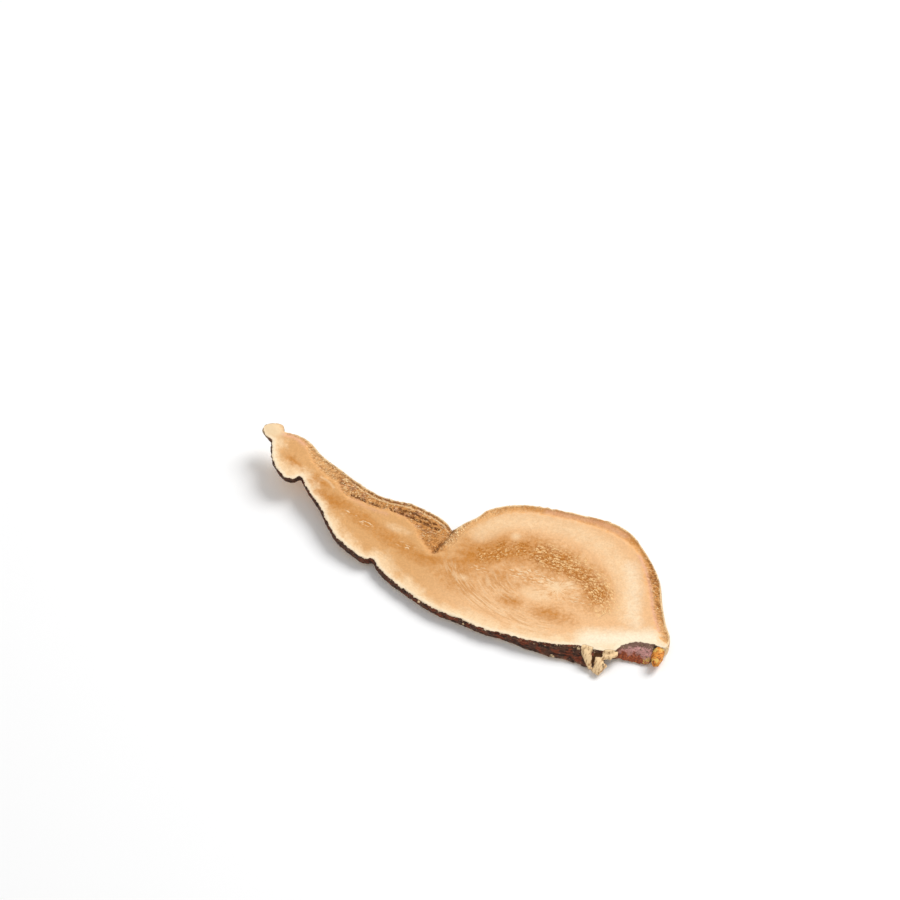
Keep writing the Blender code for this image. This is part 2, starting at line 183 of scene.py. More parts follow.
def makeSlice():
    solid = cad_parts["reishi_slice"]
    piece = bpy.data.objects.new("dried_slice", solid.data.copy())
    bpy.context.scene.collection.objects.link(piece)
    bpy.ops.object.select_all(action="DESELECT")
    piece.select_set(True)
    bpy.context.view_layer.objects.active = piece
    bpy.ops.object.mode_set(mode="EDIT")
    bpy.ops.mesh.select_all(action="SELECT")
    bpy.ops.mesh.remove_doubles(threshold=meshing["mergeWithin"])
    bpy.ops.object.mode_set(mode="OBJECT")
    applyModifier(piece, "REMESH", mode="VOXEL", voxel_size=meshing["voxel"])
    applyModifier(
        piece, "SMOOTH", factor=meshing["smoothing"], iterations=meshing["smoothPasses"]
    )
    bpy.ops.object.shade_smooth()
    return piece


slicePiece = makeSlice()
sliceMesh = slicePiece.data
vertexCount = len(sliceMesh.vertices)


def readVertices(field):
    values = np.zeros(vertexCount * 3, np.float32)
    source = sliceMesh.vertices if field == "co" else sliceMesh.vertex_normals
    source.foreach_get("co" if field == "co" else "vector", values)
    return values.reshape(-1, 3).astype(float)


points = readVertices("co") / mm - np.array([*drawingOffset, 0.0])
normals = readVertices("normal")
plan = points[:, :2]
edgeEnds = np.zeros(len(sliceMesh.edges) * 2, np.int32)
sliceMesh.edges.foreach_get("vertices", edgeEnds)
edgeEnds = edgeEnds.reshape(-1, 2)
neighbourCount = np.bincount(edgeEnds.ravel(), minlength=vertexCount)


def spread(values, passes):
    # average each point with its neighbours, so that a mask's border runs smoothly
    for _ in range(passes):
        total = np.bincount(edgeEnds[:, 0], values[edgeEnds[:, 1]], vertexCount)
        total += np.bincount(edgeEnds[:, 1], values[edgeEnds[:, 0]], vertexCount)
        values = 0.5 * values + 0.5 * total / neighbourCount
    return values


def noiseAt(scale, seed=0.0, stretch=(1.0, 1.0, 1.0)):
    # smooth noise from -1 to 1, with scale features per millimetre
    factors = np.array(stretch) * scale
    return np.array([noise.noise(Vector(place)) for place in points * factors + seed])


print("measures")
crustRoute = smoothRoute(sliceLines["crustEdge"])
knobRoute = smoothRoute(sliceLines["knobEdge"])
poreRoute = smoothRoute(sliceLines["poreEdge"])
tubeRoute = smoothRoute(sliceLines["tubeLine"])
outline = np.vstack([crustRoute, poreRoute[-2::-1], knobRoute[-2:0:-1]])
tubeLoop = np.vstack([tubeRoute, poreRoute[-2:0:-1]])

fromCrust, alongCrust = nearestOn(crustRoute, plan)
fromKnob, _ = nearestOn(knobRoute, plan)
fromPore, _ = nearestOn(poreRoute[1:], plan)
creaseRoute = smoothRoute(sliceLines["crease"])
fromCrease, alongCrease = nearestOn(creaseRoute, plan)


def measureTubes():
    # the two runs of tubes meet at the crease, and each is measured from its own line
    turn = np.argmin(np.linalg.norm(tubeRoute - creaseRoute[-1], axis=1))
    armGap, armAlong = nearestOn(tubeRoute[:turn + 1], plan)
    lobeGap, lobeAlong = nearestOn(tubeRoute[turn:], plan)
    lobeAlong = lobeAlong + np.linalg.norm(np.diff(tubeRoute[:turn + 1], axis=0), axis=1).sum()
    lobeSide = insideLoop(plan, np.vstack([creaseRoute, sliceLines["lobeCorners"]]))
    gap = np.where(lobeSide, lobeGap, armGap)
    return np.where(insideLoop(plan, tubeLoop), gap, -gap), np.where(lobeSide, lobeAlong, armAlong)


intoTubes, alongTubes = measureTubes()
fromCracks = np.minimum(*[nearestOn(smoothRoute(crack), plan)[0] for crack in sliceLines["cracks"]])
isInside = insideLoop(plan, outline)
isPoreSide = fromPore < np.minimum(fromCrust, fromKnob)

masks = dict(
    levelAbove=0.6,                 # the least upward part of a cut face's normal
    facePasses=2,
    porePasses=3,
)
topShare = spread(((normals[:, 2] > masks["levelAbove"]) & isInside).astype(float), masks["facePasses"])
underShare = spread((normals[:, 2] < -masks["levelAbove"]).astype(float), masks["facePasses"])
wallShare = 1.0 - topShare - underShare
poreShare = spread((isPoreSide | (fromKnob < fromCrust)).astype(float), masks["porePasses"])


def throughThickness():
    # 0 at the bottom of the wall and 1 at its top, found in short stretches of the edge
    stretch = 0.6                   # mm
    bins = (alongCrust / stretch).astype(int)
    onWall = (wallShare > 0.5) & ~isPoreSide
    low = np.full(bins.max() + 1, np.inf)
    high = np.full(bins.max() + 1, -np.inf)
    np.minimum.at(low, bins[onWall], points[onWall, 2])
    np.maximum.at(high, bins[onWall], points[onWall, 2])
    known = np.isfinite(low)
    places = np.arange(len(low))
    low = np.interp(alongCrust / stretch - 0.5, places[known], low[known])
    high = np.interp(alongCrust / stretch - 0.5, places[known], high[known])
    return (points[:, 2] - low) / (high - low)


wallLevel = throughThickness()

# tone and coarseness of the tube layer along its length, from the tip to the broad end
tubeTones = dict(
    along=[0, 3, 6, 14, 20, 34, 42, 46, 49, 50, 54, 60, 66, 74, 88, 96, 100, 104, 108, 112, 117],
    depth=[
        0.1, 0.25, 0.35, 0.5, 0.7, 0.9, 0.9, 0.85, 0.75, 0.15, 0.05, 0.25, 0.6, 0.75, 0.85, 0.85,
        0.95, 1.0, 0.8, 0.4, 0.3,
    ],
    coarse=[
        0.3, 0.6, 0.8, 0.9, 1.0, 1.0, 0.8, 0.7, 0.7, 1.0, 1.0, 0.6, 0.3, 0.15, 0.15, 0.5, 1.0, 1.0,
        0.9, 0.5, 0.5,
    ],
)
tubeDepth = np.interp(alongTubes, tubeTones["along"], tubeTones["depth"])
tubeCoarse = np.interp(alongTubes, tubeTones["along"], tubeTones["coarse"])

# torn flesh and broken crust at the broad end
tornFlesh = dict(
    strips=[
        dict(route=[(30.9, -14.2, 2.45), (31.1, -16.1, 2.5), (31.9, -17.7, 1.75), (32.8, -18.6, 0.85)],
             halfWidth=1.0, tapers=(1.0, 0.9, 0.6, 0.4)),
        dict(route=[(33.0, -15.6, 1.9), (33.8, -16.9, 1.85), (34.2, -18.2, 1.35), (33.9, -19.2, 0.85)],
             halfWidth=1.0, tapers=(0.7, 0.95, 1.0, 0.85)),
    ],
    halfThickness=0.65,
    margin=0.15,
    fringes=[
        ((34.7, -15.7, 2.3), (0.6, 0.8, 0.45)), ((35.6, -15.3, 2.4), (0.55, 0.9, 0.45)),
        ((36.4, -14.7, 2.5), (0.5, 0.7, 0.4)), ((35.0, -17.2, 1.3), (0.6, 0.6, 0.5)),
    ],
    roots=[((31.0, -15.4, 2.7), (1.1, 1.0, 0.9)), ((35.4, -15.1, 2.7), (1.3, 0.9, 0.8))],
    # the gaps are dark places between the strips, where shade is painted
    gaps=[((32.75, -17.0, 2.1), (0.3, 1.3, 0.9)), ((33.3, -15.9, 2.5), (1.0, 0.5, 0.4)),
          ((34.9, -16.3, 1.9), (0.3, 0.6, 0.5))],
    fadeInward=0.5,                 # mm, over which the torn flesh fades into the cut face
    brokenLump=((44.0, -11.9, 2.0), (1.1, 2.3, 1.5)),
    facetStart=36.5,
    facetEnd=43.0,
)


def inBall(ball, margin):
    centre, halfSizes = ball
    reach = np.linalg.norm((points - np.array(centre)) / (np.array(halfSizes) + margin), axis=1)
    return 1.0 - smoothStep(reach, 0.9, 1.1)


def onStrip(strip):
    # inside the flat tapering band that follows the strip's route
    route = np.array(strip["route"])
    found = np.zeros(vertexCount)
    for index, (start, end) in enumerate(zip(route[:-1], route[1:])):
        run = (end - start) / np.linalg.norm(end - start)
        side = np.cross(run, (0.0, 0.0, 1.0))
        side /= np.linalg.norm(side)
        face = np.cross(side, run)
        share = np.clip((points - start) @ run / np.linalg.norm(end - start), 0.0, 1.0)
        gap = points - start - share[:, None] * (end - start)
        taper = strip["tapers"][index] * (1.0 - share) + strip["tapers"][index + 1] * share
        halfWidth = strip["halfWidth"] * taper + tornFlesh["margin"]
        reach = np.linalg.norm(
            [gap @ side / halfWidth, gap @ face / tornFlesh["halfThickness"],
             gap @ run / tornFlesh["halfThickness"]], axis=0,
        )
        found = np.maximum(found, 1.0 - smoothStep(reach, 0.9, 1.15))
    return found


tornShare = np.maximum.reduce(
    [onStrip(strip) for strip in tornFlesh["strips"]]
    + [inBall(ball, tornFlesh["margin"]) for ball in tornFlesh["fringes"] + tornFlesh["roots"]]
)
tornShare *= np.where(isInside, np.exp(-(fromCrust / tornFlesh["fadeInward"]) ** 2), 1.0)
gapShadeShare = np.maximum.reduce([inBall(ball, 0.0) for ball in tornFlesh["gaps"]])
lumpShare = inBall(tornFlesh["brokenLump"], tornFlesh["margin"])
facetWidth = tornFlesh["facetEnd"] - tornFlesh["facetStart"]
facetAcross = (points[:, 0] - tornFlesh["facetStart"]) / facetWidth
facetShare = smoothStep(facetAcross, -0.03, 0.1) * (1.0 - smoothStep(facetAcross, 1.04, 1.14))

# cream flakes of flesh that cling to the crust: place, and reach in millimetres
crustFlakes = dict(
    spots=[
        ((16.8, -17.5, 2.2), 0.55), ((24.9, -18.7, 0.8), 0.75), ((27.2, -16.2, 2.4), 0.45),
        ((6.4, -18.0, 1.9), 0.4), ((-3.6, -16.3, 2.2), 0.4), ((29.3, -15.7, 2.4), 0.6),
    ],
    lift=0.28,
)


def flakeField():
    field = np.zeros(vertexCount)
    for place, reach in crustFlakes["spots"]:
        field = np.maximum(field, np.exp(-(np.linalg.norm(points - np.array(place), axis=1) / reach) ** 2))
    return field


flakes = flakeField()

print("relief")
tipKnob = dict(
    centre=(-47.3, 11.2),
    reach=(2.3, 2.0),
    levelPasses=60,
)
fromKnobCentre = (plan - np.array(tipKnob["centre"])) / np.array(tipKnob["reach"])
knobShare = 1.0 - smoothStep(np.linalg.norm(fromKnobCentre, axis=1), 0.5, 1.5)

relief = dict(
    edgeRaggedness=0.3,             # these are all in millimetres
    edgeWidth=0.9,
    wallWrinkles=0.15,
    faceWaves=0.05,
    tubeGrain=0.1,
    crackDepth=0.3,
    crackWidth=0.2,
    creaseDepth=0.3,
    creaseWidth=0.35,
    tornGrain=0.12,
    lumpGrain=0.1,
)


def roughen():
    onTop = topShare > 0.5
    evenTop = spread(points[:, 2], tipKnob["levelPasses"]) - points[:, 2]
    crustWall = smoothStep(wallShare, 0.3, 0.7) * (1.0 - poreShare) * (1.0 - tornShare)
    nearEdge = np.exp(-(fromCrust / relief["edgeWidth"]) ** 2) * smoothStep(wallLevel, 0.4, 0.9)
    nearEdge *= 1.0 - tornShare
    outward = normals.copy()
    outward[:, 2] = 0.0
    ragged = relief["edgeRaggedness"] * (noiseAt(0.9, 3.1) + noiseAt(2.0, 7.7)) * nearEdge
    wrinkles = relief["wallWrinkles"] * (
        noiseAt(1.3, 11.0, (1.0, 1.0, 2.0)) + 0.5 * noiseAt(2.6, 5.0)
    ) * crustWall
    waves = relief["faceWaves"] * (noiseAt(0.35, 2.0) + 0.6 * noiseAt(0.8, 9.0)) * (1.0 - wallShare)
    tubes = smoothStep(intoTubes, 0.0, 0.5) * onTop
    grain = relief["tubeGrain"] * (noiseAt(1.6, 4.0) + 0.7 * noiseAt(2.8, 6.0)) * tubes
    grain *= 0.3 + 0.7 * tubeCoarse
    cracks = relief["crackDepth"] * np.exp(-(fromCracks / relief["crackWidth"]) ** 2) * tubes
    cracks *= smoothStep(noiseAt(0.9, 21.0), -0.25, 0.2)
    crease = relief["creaseDepth"] * np.exp(-(fromCrease / relief["creaseWidth"]) ** 2) * onTop
    torn = relief["tornGrain"] * noiseAt(1.5, 13.0, (1.5, 0.5, 1.0)) * tornShare
    broken = relief["lumpGrain"] * (noiseAt(1.2, 15.0) + 0.6 * noiseAt(2.4, 16.0)) * lumpShare
    flaked = crustFlakes["lift"] * flakes * crustWall
    along = wrinkles + waves + grain - cracks - crease + torn + broken + flaked
    moved = points + normals * along[:, None] + outward * ragged[:, None]
    moved[:, 2] += evenTop * knobShare * smoothStep(topShare, 0.3, 0.9)
    moved[:, 2] = np.maximum(moved[:, 2], points[:, 2].min())
    return moved


moved = roughen()
moved = (moved + np.array([*drawingOffset, 0.0])) * mm
sliceMesh.vertices.foreach_set("co", moved.astype(np.float32).ravel())
sliceMesh.update()

# tones and marks of the cut flesh, laid along routes and round spots
print("tones")
fleshTones = dict(
    coreRoute=[
        (-4.0, -5.2), (0.0, -2.6), (3.5, 0.4), (6.4, 2.8), (9.8, 4.6), (14.8, 4.8), (18.6, 4.0),
        (23.0, 2.6), (27.3, 0.6), (30.2, -2.4), (31.6, -5.6),
    ],
    belowCore=(20.0, -30.0),        # closes the loop on the core's inner side
    amber=dict(
        routes=[
            dict(route=[(2.5, -1.2), (5.0, 0.8), (7.4, 2.4), (10.4, 3.4), (15.2, 3.6), (18.8, 3.0)],
                 width=3.8, depth=1.0),
            dict(route=[(18.8, 3.0), (23.0, 1.8), (26.6, -0.2), (28.6, -2.4)], width=3.4, depth=0.85),
            dict(route=[(-40.8, 5.9), (-37.8, 3.8), (-35.1, 2.1)], width=1.0, depth=0.7),
            dict(route=[(-4.0, -6.4), (0.0, -8.4), (4.0, -9.4)], width=2.6, depth=0.45),
            dict(route=[(-35.1, 2.1), (-32.5, 0.8), (-29.7, 0.2), (-26.4, 0.0), (-22.2, -1.2),
                        (-17.6, -2.6), (-12.5, -4.4), (-7.7, -5.6), (-1.5, -4.4), (3.0, -1.6)],
                 width=1.9, depth=0.62),
        ],
        spots=[
            dict(place=(-41.0, 8.2), reach=(2.4, 1.8), depth=0.12),
            dict(place=(-34.0, 3.3), reach=(3.4, 1.5), depth=0.75),
            dict(place=(0.0, -5.0), reach=(6.0, 4.0), depth=0.55),
            dict(place=(12.8, -9.4), reach=(2.6, 1.9), depth=0.8),
            dict(place=(21.8, -9.9), reach=(4.6, 2.0), depth=0.7),
            dict(place=(9.0, -4.4), reach=(6.5, 4.0), depth=0.45),
            dict(place=(27.5, -5.2), reach=(4.0, 2.4), depth=0.4),
            dict(place=(14.2, -3.2), reach=(2.4, 1.6), depth=0.45),
        ],
    ),
    pale=dict(
        routes=[
            dict(route=[(32.6, 6.6), (34.9, 1.6), (36.6, -4.0), (38.6, -8.0)], width=1.8, depth=0.4),
            dict(route=[(30.5, -13.4), (35.0, -11.6), (41.5, -8.9)], width=2.3, depth=0.95),
        ],
        spots=[dict(place=(42.4, -8.8), reach=(2.2, 1.8), depth=0.9)],
    ),
    cream=dict(
        routes=[
            dict(route=[(1.6, 4.6), (4.8, 8.8), (9.8, 11.2), (15.2, 11.9), (21.8, 11.2), (27.1, 8.9),
                        (31.0, 5.4), (34.0, 0.0), (35.6, -5.0)], width=2.4, depth=0.5),
            dict(route=[(-33.6, 4.6), (-31.8, 4.2), (-30.2, 3.2)], width=0.3, depth=0.5),
        ],
        spots=[
            dict(place=(20.0, -3.0), reach=(2.1, 1.3), depth=0.95),
            dict(place=(22.4, -1.6), reach=(1.4, 0.9), depth=0.8),
            dict(place=(17.0, -6.0), reach=(3.0, 1.6), depth=0.6),
            dict(place=(31.0, -12.6), reach=(3.0, 2.0), depth=0.8),
            dict(place=(8.3, 6.4), reach=(1.0, 1.1), depth=0.7),
            dict(place=(2.2, -7.4), reach=(1.4, 0.9), depth=0.4),
            dict(place=(-14.6, -0.6), reach=(3.4, 1.3), depth=0.35),
        ],
    ),
    rings=dict(
        routes=[dict(route=[(-0.6, -6.4), (2.4, -8.6), (5.6, -10.8), (9.8, -12.2), (15.0, -13.4),
                            (21.2, -14.2)], width=2.2, depth=1.0)],
        spots=[dict(place=(9.4, -7.0), reach=(4.6, 3.4), depth=1.0)],
    ),
    flecks=dict(
        routes=[
            dict(route=[(4.2, -0.6), (7.0, 1.8), (10.4, 3.4), (15.2, 4.0)], width=3.2, depth=0.75),
            dict(route=[(15.2, 4.0), (19.0, 3.6), (23.2, 2.4), (27.2, 0.2), (29.8, -2.6), (31.0, -5.0)],
                 width=3.4, depth=1.3),
        ],
        spots=[],
    ),
    strokes=dict(
        routes=[],
        spots=[
            dict(place=(14.2, -1.9), reach=(5.6, 1.7), depth=1.3),
            dict(place=(4.6, -4.0), reach=(3.4, 1.2), depth=0.6),
            dict(place=(25.6, -4.6), reach=(2.6, 1.6), depth=0.8),
            dict(place=(-24.6, -1.2), reach=(1.5, 0.7), depth=1.0),
            dict(place=(-20.8, -2.0), reach=(1.7, 0.8), depth=1.0),
            dict(place=(-11.4, -4.0), reach=(2.2, 0.9), depth=0.9),
        ],
    ),
    rosy=dict(
        routes=[
            dict(route=[(-44.9, 11.0), (-43.1, 11.5), (-41.5, 11.4), (-40.2, 10.9)], width=0.6, depth=0.8),
            dict(route=[(33.2, 10.0), (35.9, 6.4), (38.0, 2.4), (40.0, -2.2), (42.4, -6.4)], width=0.4,
                 depth=0.9),
            dict(route=[(12.0, 14.8), (18.0, 15.3), (24.0, 15.3), (29.0, 14.0)], width=0.7, depth=0.6),
            dict(route=[(-26.0, 2.3), (-22.0, 1.8), (-18.0, 2.0)], width=0.5, depth=0.4),
        ],
        spots=[],
    ),
    ringCentre=(20.4, -3.1),
    ringFlattening=1.35,
)


def laidTone(name):
    tone = np.zeros(vertexCount)
    for item in fleshTones[name]["routes"]:
        gap, _ = nearestOn(smoothRoute(item["route"]), plan)
        tone = np.maximum(tone, item["depth"] * np.exp(-(gap / item["width"]) ** 2))
    for item in fleshTones[name]["spots"]:
        gap = np.linalg.norm((plan - np.array(item["place"])) / np.array(item["reach"]), axis=1)
        tone = np.maximum(tone, item["depth"] * np.exp(-gap**2))
    return tone


# growth rings run level with the crust, and close round the ring centre
fromCentre = (plan - np.array(fleshTones["ringCentre"])) * (1.0, fleshTones["ringFlattening"])
ringRadius = np.linalg.norm(fromCentre, axis=1)
ringWay = fromCentre / ringRadius[:, None]
ringLevel = 0.6 * ringRadius - 0.4 * fromCrust

# the flecks of the core lie along its route
coreRoute = smoothRoute(fleshTones["coreRoute"])
fromCore, alongCore = nearestOn(coreRoute, plan)
coreLoop = np.vstack([coreRoute, [fleshTones["belowCore"]]])
acrossCore = np.where(insideLoop(plan, coreLoop), -fromCore, fromCore)


def giveNumber(name, values):
    attribute = sliceMesh.attributes.new(name, "FLOAT", "POINT")
    attribute.data.foreach_set("value", values.astype(np.float32))


def giveVector(name, x, y, z):
    attribute = sliceMesh.attributes.new(name, "FLOAT_VECTOR", "POINT")
    attribute.data.foreach_set("vector", np.stack([x, y, z], axis=1).astype(np.float32).ravel())


giveNumber("knob", knobShare)
giveVector("sides", topShare, wallShare, poreShare)
giveVector("crustPlace", alongCrust, fromCrust, wallLevel)
giveVector("tubePlace", alongTubes, intoTubes, fromPore)
giveVector("ringPlace", ringWay[:, 0], ringWay[:, 1], ringLevel)
giveVector("corePlace", alongCore, acrossCore, ringRadius)
giveVector("fleshTones", laidTone("amber"), laidTone("pale"), laidTone("cream"))
giveVector("fleshMarks", laidTone("rings"), laidTone("flecks"), laidTone("strokes"))
giveVector("tubeTones", tubeDepth, tubeCoarse, laidTone("rosy"))
giveVector("wallMarks", facetShare, facetAcross, flakes)
giveVector("tornPlace", tornShare, lumpShare, gapShadeShare)
giveVector("darkLines", fromCracks, fromCrease, alongCrease)


# helpers for the shader's nodes
def feed(tree, socket, value):
    if isinstance(value, bpy.types.NodeSocket):
        tree.links.new(value, socket)
    else:
        socket.default_value = value


def addNode(tree, kind, inputs=None, **settings):
    node = tree.nodes.new("ShaderNode" + kind)
    for key, value in settings.items():
        setattr(node, key, value)
    for key, value in (inputs or {}).items():
        feed(tree, node.inputs[key], value)
    return node


def calc(tree, operation, *values, clamp=False):
    node = addNode(tree, "Math", operation=operation, use_clamp=clamp)
    for socket, value in zip(node.inputs, values):
        feed(tree, socket, value)
    return node.outputs[0]


def times(tree, value, *others):
    for other in others:
        value = calc(tree, "MULTIPLY", value, other)
    return value


def plus(tree, value, *others):
    for other in others:
        value = calc(tree, "ADD", value, other)
    return value


def ramp(tree, value, low, high, start=0.0, end=1.0):
    inputs = {"Value": value, "From Min": low, "From Max": high, "To Min": start, "To Max": end}
    return addNode(tree, "MapRange", inputs, interpolation_type="SMOOTHSTEP").outputs[0]


def mixColours(tree, share, first, second, how="MIX"):
    node = addNode(tree, "Mix", data_type="RGBA", blend_type=how, clamp_factor=True)
    feed(tree, node.inputs[0], share)
    feed(tree, node.inputs[6], first)
    feed(tree, node.inputs[7], second)
    return node.outputs[2]


def mixValues(tree, share, first, second):
    node = addNode(tree, "Mix", data_type="FLOAT", clamp_factor=True)
    feed(tree, node.inputs[0], share)
    feed(tree, node.inputs[2], first)
    feed(tree, node.inputs[3], second)
    return node.outputs[0]


def stretched(tree, vector, factors):
    node = addNode(tree, "VectorMath", operation="MULTIPLY")
    feed(tree, node.inputs[0], vector)
    node.inputs[1].default_value = factors
    return node.outputs[0]


def joined(tree, x, y, z=0.0):
    return addNode(tree, "CombineXYZ", {"X": x, "Y": y, "Z": z}).outputs[0]


def parted(tree, vector):
    return addNode(tree, "SeparateXYZ", {"Vector": vector}).outputs


def noiseOf(tree, vector, scale, detail=2.0, roughness=0.5, distortion=0.0):
    inputs = {
        "Vector": vector, "Scale": scale, "Detail": detail, "Roughness": roughness, "Distortion": distortion,
    }
    return addNode(tree, "TexNoise", inputs, normalize=True).outputs[0]


def cellsOf(tree, vector, dimensions="2D", randomness=1.0):
    # distance to the cell's middle, and a chance from 0 to 1 that differs between cells
    inputs = {"Vector": vector, "Scale": 1.0, "Randomness": randomness}
    node = addNode(tree, "TexVoronoi", voronoi_dimensions=dimensions)
    for key, value in inputs.items():
        feed(tree, node.inputs[key], value)
    return node.outputs["Distance"], parted(tree, node.outputs["Color"])[0]


def newGroup(name, inputs, outputs):
    tree = bpy.data.node_groups.new(name, "ShaderNodeTree")
    for label, kind in inputs.items():
        tree.interface.new_socket(label, in_out="INPUT", socket_type="NodeSocket" + kind)
    for label, kind in outputs.items():
        tree.interface.new_socket(label, in_out="OUTPUT", socket_type="NodeSocket" + kind)
    return tree, tree.nodes.new("NodeGroupInput").outputs, tree.nodes.new("NodeGroupOutput").inputs


def useGroup(tree, group, inputs):
    node = tree.nodes.new("ShaderNodeGroup")
    node.node_tree = group
    for key, value in inputs.items():
        feed(tree, node.inputs[key], value)
    return node.outputs


def paint(red, green, blue):
    # a colour picked in sRGB, 0 to 255, as the linear colour that the shader takes
    shares = [channel / 255.0 for channel in (red, green, blue)]
    return (*[s / 12.92 if s <= 0.04045 else ((s + 0.055) / 1.055) ** 2.4 for s in shares], 1.0)


print("material")
fleshPaint = dict(
    tan=paint(230, 182, 132),
    armTan=paint(212, 160, 103),
    amber=paint(190, 122, 46),
    deepAmber=paint(158, 90, 26),
    rim=paint(240, 208, 166),
    # white serves the pale patches and the painted highlight along the crust edge
    white=paint(243, 227, 198),
    fleck=paint(242, 198, 140),
    ringDark=paint(184, 128, 70),
    rosy=paint(220, 168, 138),
)


def fleshGroup():
    tree, given, out = newGroup(
        "cutFlesh",
        {"Place": "Vector", "Ring": "Vector", "Core": "Vector", "Tones": "Vector", "Marks": "Vector",
         "From Edge": "Float", "Rosy": "Float"},
        {"Color": "Color", "Height": "Float"},
    )
    place = given["Place"]
    x, y, _ = parted(tree, place)
    wayX, wayY, ring = parted(tree, given["Ring"])
    alongCore, acrossCore, radius = parted(tree, given["Core"])
    amberTone, paleTone, creamTone = parted(tree, given["Tones"])
    ringShare, fleckShare, strokeShare = parted(tree, given["Marks"])

    cloud = noiseOf(tree, place, 0.28, 4.0, 0.6)
    mottle = noiseOf(tree, place, 1.2, 3.0, 0.65)
    grain = noiseOf(tree, place, 4.0, 2.0, 0.6)
    drift = ramp(tree, cloud, 0.3, 0.7, -1.0, 1.0)
    patchy = ramp(tree, mottle, 0.3, 0.7, -1.0, 1.0)

    colour = mixColours(tree, ramp(tree, x, -10.0, 14.0), fleshPaint["armTan"], fleshPaint["tan"])
    amber = plus(tree, amberTone, times(tree, drift, 0.16), times(tree, patchy, 0.2))
    amber = times(tree, amber, ramp(tree, amberTone, 0.02, 0.25))
    colour = mixColours(tree, amber, colour, fleshPaint["amber"])

    # soft growth rings between the crust and the middle, finely lined
    ringwise = joined(tree, wayX, wayY, ring)
    sway = noiseOf(tree, stretched(tree, ringwise, (1.3, 1.3, 0.5)), 1.0, 2.0, 0.5)
    wave = calc(tree, "SINE", plus(tree, times(tree, ring, 5.2), times(tree, sway, 9.0)))
    hairs = noiseOf(tree, stretched(tree, ringwise, (4.5, 4.5, 2.4)), 1.0, 2.0, 0.6, 0.2)
    ringTone = plus(tree, times(tree, wave, ramp(tree, mottle, 0.4, 0.6, 0.0, 0.4)),
                    ramp(tree, hairs, 0.35, 0.65, -0.9, 0.9))
    ringTone = times(tree, ringTone, ringShare)
    colour = mixColours(tree, times(tree, ringTone, 0.5), colour, fleshPaint["ringDark"])
    colour = mixColours(tree, times(tree, ringTone, -0.45), colour, fleshPaint["rim"])

    # pale rim under the crust, wandering in width, a painted highlight along the crust edge, and cream
    # patches
    wander = plus(tree, given["From Edge"], times(tree, drift, 1.0), times(tree, patchy, 0.25))
    rim = ramp(tree, wander, 0.4, 3.6, 0.9, 0.0)
    colour = mixColours(tree, rim, colour, fleshPaint["rim"])
    # a thin white band where the top face meets the crust is a painted highlight
    edge = plus(tree, given["From Edge"], times(tree, patchy, 0.2))
    colour = mixColours(tree, ramp(tree, edge, 0.2, 1.1, 0.7, 0.0), colour, fleshPaint["white"])
    cream = plus(tree, creamTone, times(tree, patchy, 0.14), times(tree, drift, 0.1))
    cream = times(tree, cream, ramp(tree, creamTone, 0.05, 0.25))
    colour = mixColours(tree, cream, colour, fleshPaint["rim"])
    pale = plus(tree, paleTone, times(tree, patchy, 0.08))
    pale = times(tree, pale, ramp(tree, paleTone, 0.0, 0.2))
    colour = mixColours(tree, pale, colour, fleshPaint["white"])
    rosy = times(tree, given["Rosy"], ramp(tree, mottle, 0.35, 0.6, 0.5, 1.0))
    colour = mixColours(tree, rosy, colour, fleshPaint["rosy"])

    # short strokes that fan out from the ring centre
    spokewise = joined(tree, times(tree, wayX, 6.0), times(tree, wayY, 6.0), times(tree, radius, 0.8))
    spokes = noiseOf(tree, spokewise, 1.0, 2.0, 0.6)
    nearCentre = times(tree, ramp(tree, radius, 1.0, 8.0, 1.0, 0.0), ramp(tree, radius, 0.2, 1.6))
    spokeLight = times(tree, ramp(tree, spokes, 0.53, 0.64), nearCentre, 0.55)
    spokeDark = times(tree, ramp(tree, spokes, 0.46, 0.34), nearCentre, 0.55)
    colour = mixColours(tree, spokeLight, colour, fleshPaint["rim"])
    colour = mixColours(tree, spokeDark, colour, fleshPaint["amber"])

    # dense pale flecks with dark gaps along the core
    jitter = ramp(tree, grain, 0.3, 0.7, -0.08, 0.08)
    bentAlong = plus(tree, alongCore, times(tree, patchy, 0.25), jitter)
    bentAcross = plus(tree, acrossCore, times(tree, patchy, 0.2), jitter)
    away, chance = cellsOf(tree, joined(tree, times(tree, bentAlong, 1.35), times(tree, bentAcross, 2.4)))
    fleckMask = ramp(tree, plus(tree, fleckShare, times(tree, patchy, 0.25)), 0.25, 1.0)
    size = times(tree, ramp(tree, chance, 0.05, 0.9, 0.2, 0.6), mixValues(tree, fleckMask, 0.7, 1.0))
    fleck = times(tree, ramp(tree, calc(tree, "SUBTRACT", size, away), 0.0, 0.3), fleckMask)
    fleck = times(tree, fleck, ramp(tree, chance, 0.1, 0.9, 0.5, 1.0))
    gap = times(tree, ramp(tree, away, 0.3, 0.62), fleckMask, ramp(tree, amberTone, 0.3, 0.8))
    fineAway, fineChance = cellsOf(tree, stretched(tree, place, (2.6, 3.4, 1.0)))
    speck = times(tree, ramp(tree, fineAway, 0.4, 0.12), ramp(tree, fineChance, 0.4, 0.6), fleckMask)
    colour = mixColours(tree, times(tree, gap, 0.62), colour, fleshPaint["deepAmber"])
    colour = mixColours(tree, times(tree, speck, 0.45), colour, fleshPaint["fleck"])
    colour = mixColours(tree, times(tree, fleck, 0.85), colour, fleshPaint["fleck"])

